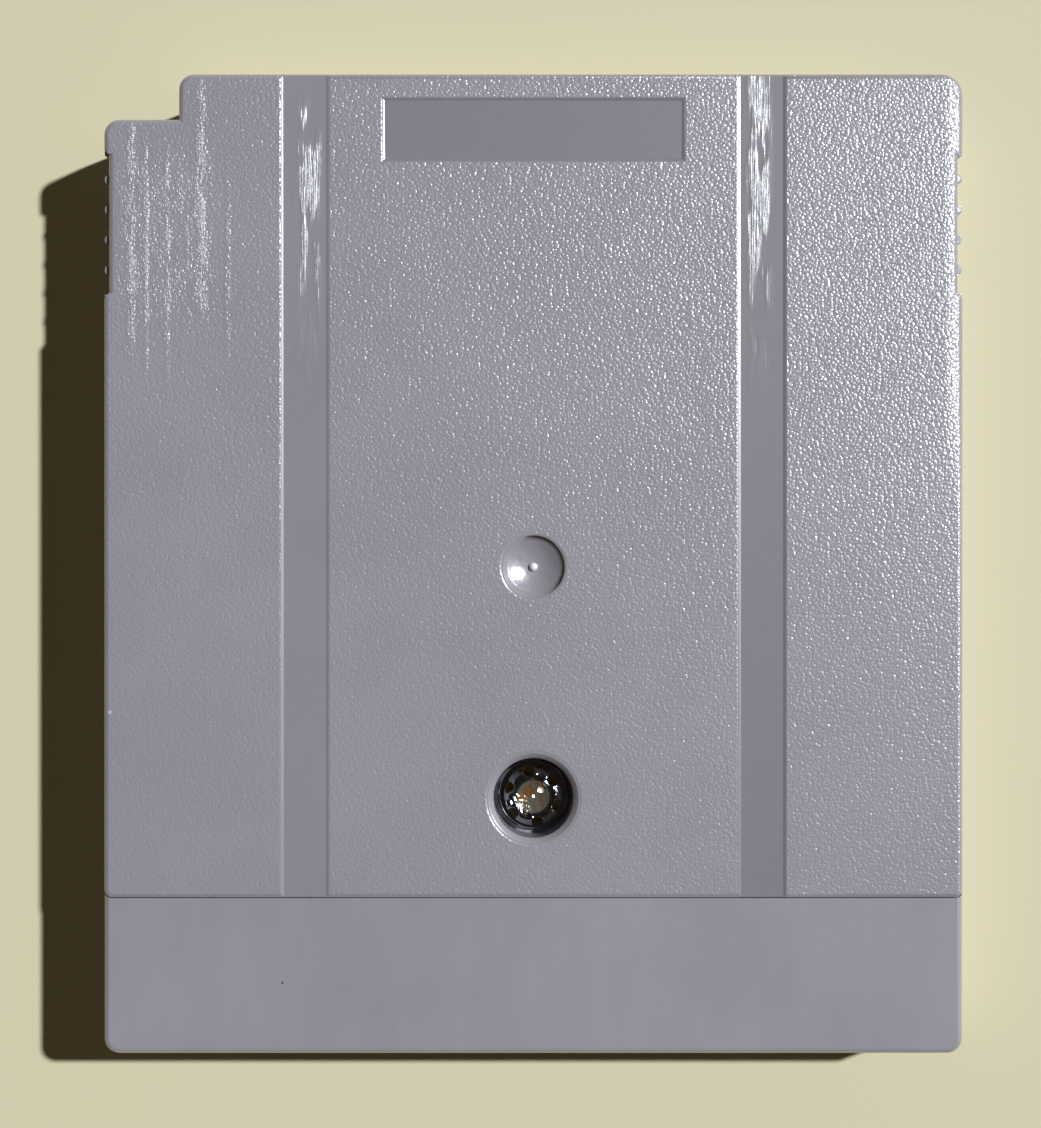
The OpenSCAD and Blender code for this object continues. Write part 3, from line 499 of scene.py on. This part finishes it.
def add_materials():
    finishes = {
        "back_shell": plastic("case_plastic_back", back_finish),
        "front_shell": plastic("case_plastic_front", front_finish),
        "case_screw": screw_metal(),
        "circuit_board": plain("board_laminate", srgb(52, 104, 66), 0.35),
        "edge_contacts": metal("contact_gold", srgb(222, 184, 104), 0.36),
        "coin_cell": metal("cell_steel", srgb(200, 202, 205), 0.3),
    }
    lead = metal("lead_tin", srgb(200, 202, 204), 0.35)
    mould = plain("chip_mould", srgb(42, 42, 45), 0.5)
    ceramic = plain("capacitor_ceramic", srgb(168, 140, 104), 0.5)
    for name, piece in NODES.items():
        if name in finishes:
            finish = finishes[name]
        elif name.endswith(("_leads", "_ends")) or name.startswith("cell_tab"):
            finish = lead
        elif name.startswith(("capacitor", "resistor")):
            finish = ceramic
        else:
            finish = mould
        piece.data.materials.clear()
        piece.data.materials.append(finish)


def soften(piece, width):
    """Rounds the sharp edges of a moulded piece a little, with its mesh left as it is."""
    for face in piece.data.polygons:
        face.use_smooth = True
    weld = piece.modifiers.new("weld", "WELD")
    weld.merge_threshold = 1e-6
    flat = piece.modifiers.new("flat", "DECIMATE")
    flat.decimate_type = "DISSOLVE"
    flat.angle_limit = math.radians(FLAT_ANGLE)
    bevel = piece.modifiers.new("bevel", "BEVEL")
    bevel.width = width * MM
    bevel.segments = BEVEL_SEGMENTS
    bevel.limit_method = "ANGLE"
    bevel.angle_limit = math.radians(SHARP_ANGLE)
    bevel.use_clamp_overlap = True
    shading = piece.modifiers.new("shading", "WEIGHTED_NORMAL")
    shading.weight = 50
    shading.keep_sharp = False


def add_floor():
    mesh = bpy.data.meshes.new("floor")
    half = FLOOR_HALF
    corners = [(-half, -half, 0), (half, -half, 0), (half, half, 0), (-half, half, 0)]
    mesh.from_pydata(corners, [], [(0, 1, 2, 3)])
    floor = bpy.data.objects.new("floor", mesh)
    bpy.context.scene.collection.objects.link(floor)
    g = Graph("floor_paper")
    g.set(Base_Color=srgb(215, 206, 174), Roughness=0.7)
    mesh.materials.append(g.material)


def add_world():
    world = bpy.data.worlds.new("studio")
    world.use_nodes = True
    bpy.context.scene.world = world
    tree = world.node_tree
    direction = tree.nodes.new("ShaderNodeTexCoord").outputs["Generated"]
    parts = tree.nodes.new("ShaderNodeSeparateXYZ")
    tree.links.new(direction, parts.inputs[0])
    ramp = tree.nodes.new("ShaderNodeValToRGB")
    while len(ramp.color_ramp.elements) < len(STUDIO):
        ramp.color_ramp.elements.new(0.5)
    for stop, (height, level) in zip(ramp.color_ramp.elements, STUDIO):
        stop.position = height
        stop.color = (*(level * c for c in STUDIO_TINT), 1)
    tree.links.new(parts.outputs[2], ramp.inputs[0])
    tree.links.new(ramp.outputs[0], tree.nodes["Background"].inputs["Color"])


def add_key():
    data = bpy.data.lights.new("key", "SUN")
    data.energy = KEY_STRENGTH
    data.angle = math.radians(KEY_ANGLE)
    data.color = KEY_TINT
    lamp = bpy.data.objects.new("key", data)
    away = Vector((KEY_SLOPE_X, KEY_SLOPE_Y, 1))
    lamp.rotation_euler = away.to_track_quat("Z", "Y").to_euler()
    bpy.context.scene.collection.objects.link(lamp)


def add_camera():
    data = bpy.data.cameras.new("camera")
    camera = bpy.data.objects.new("camera", data)
    camera.location = (
        (PHOTO_W / 2 - PHOTO_CENTRE_X) / PIXELS_PER_MM * MM,
        (PHOTO_CENTRE_Y - PHOTO_H / 2) / PIXELS_PER_MM * MM,
        (PANEL_Z + CAMERA_HEIGHT) * MM,
    )
    data.lens = data.sensor_width * CAMERA_HEIGHT * PIXELS_PER_MM / PHOTO_H
    data.clip_start = CLIP_START
    bpy.context.scene.collection.objects.link(camera)
    bpy.context.scene.camera = camera


def add_looks():
    add_materials()
    soften(NODES["back_shell"], SHELL_BEVEL)
    soften(NODES["front_shell"], SHELL_BEVEL)
    soften(NODES["case_screw"], SCREW_BEVEL)


bpy.context.scene.view_settings.view_transform = "Standard"
add_camera()
add_world()
add_key()
add_floor()
add_looks()
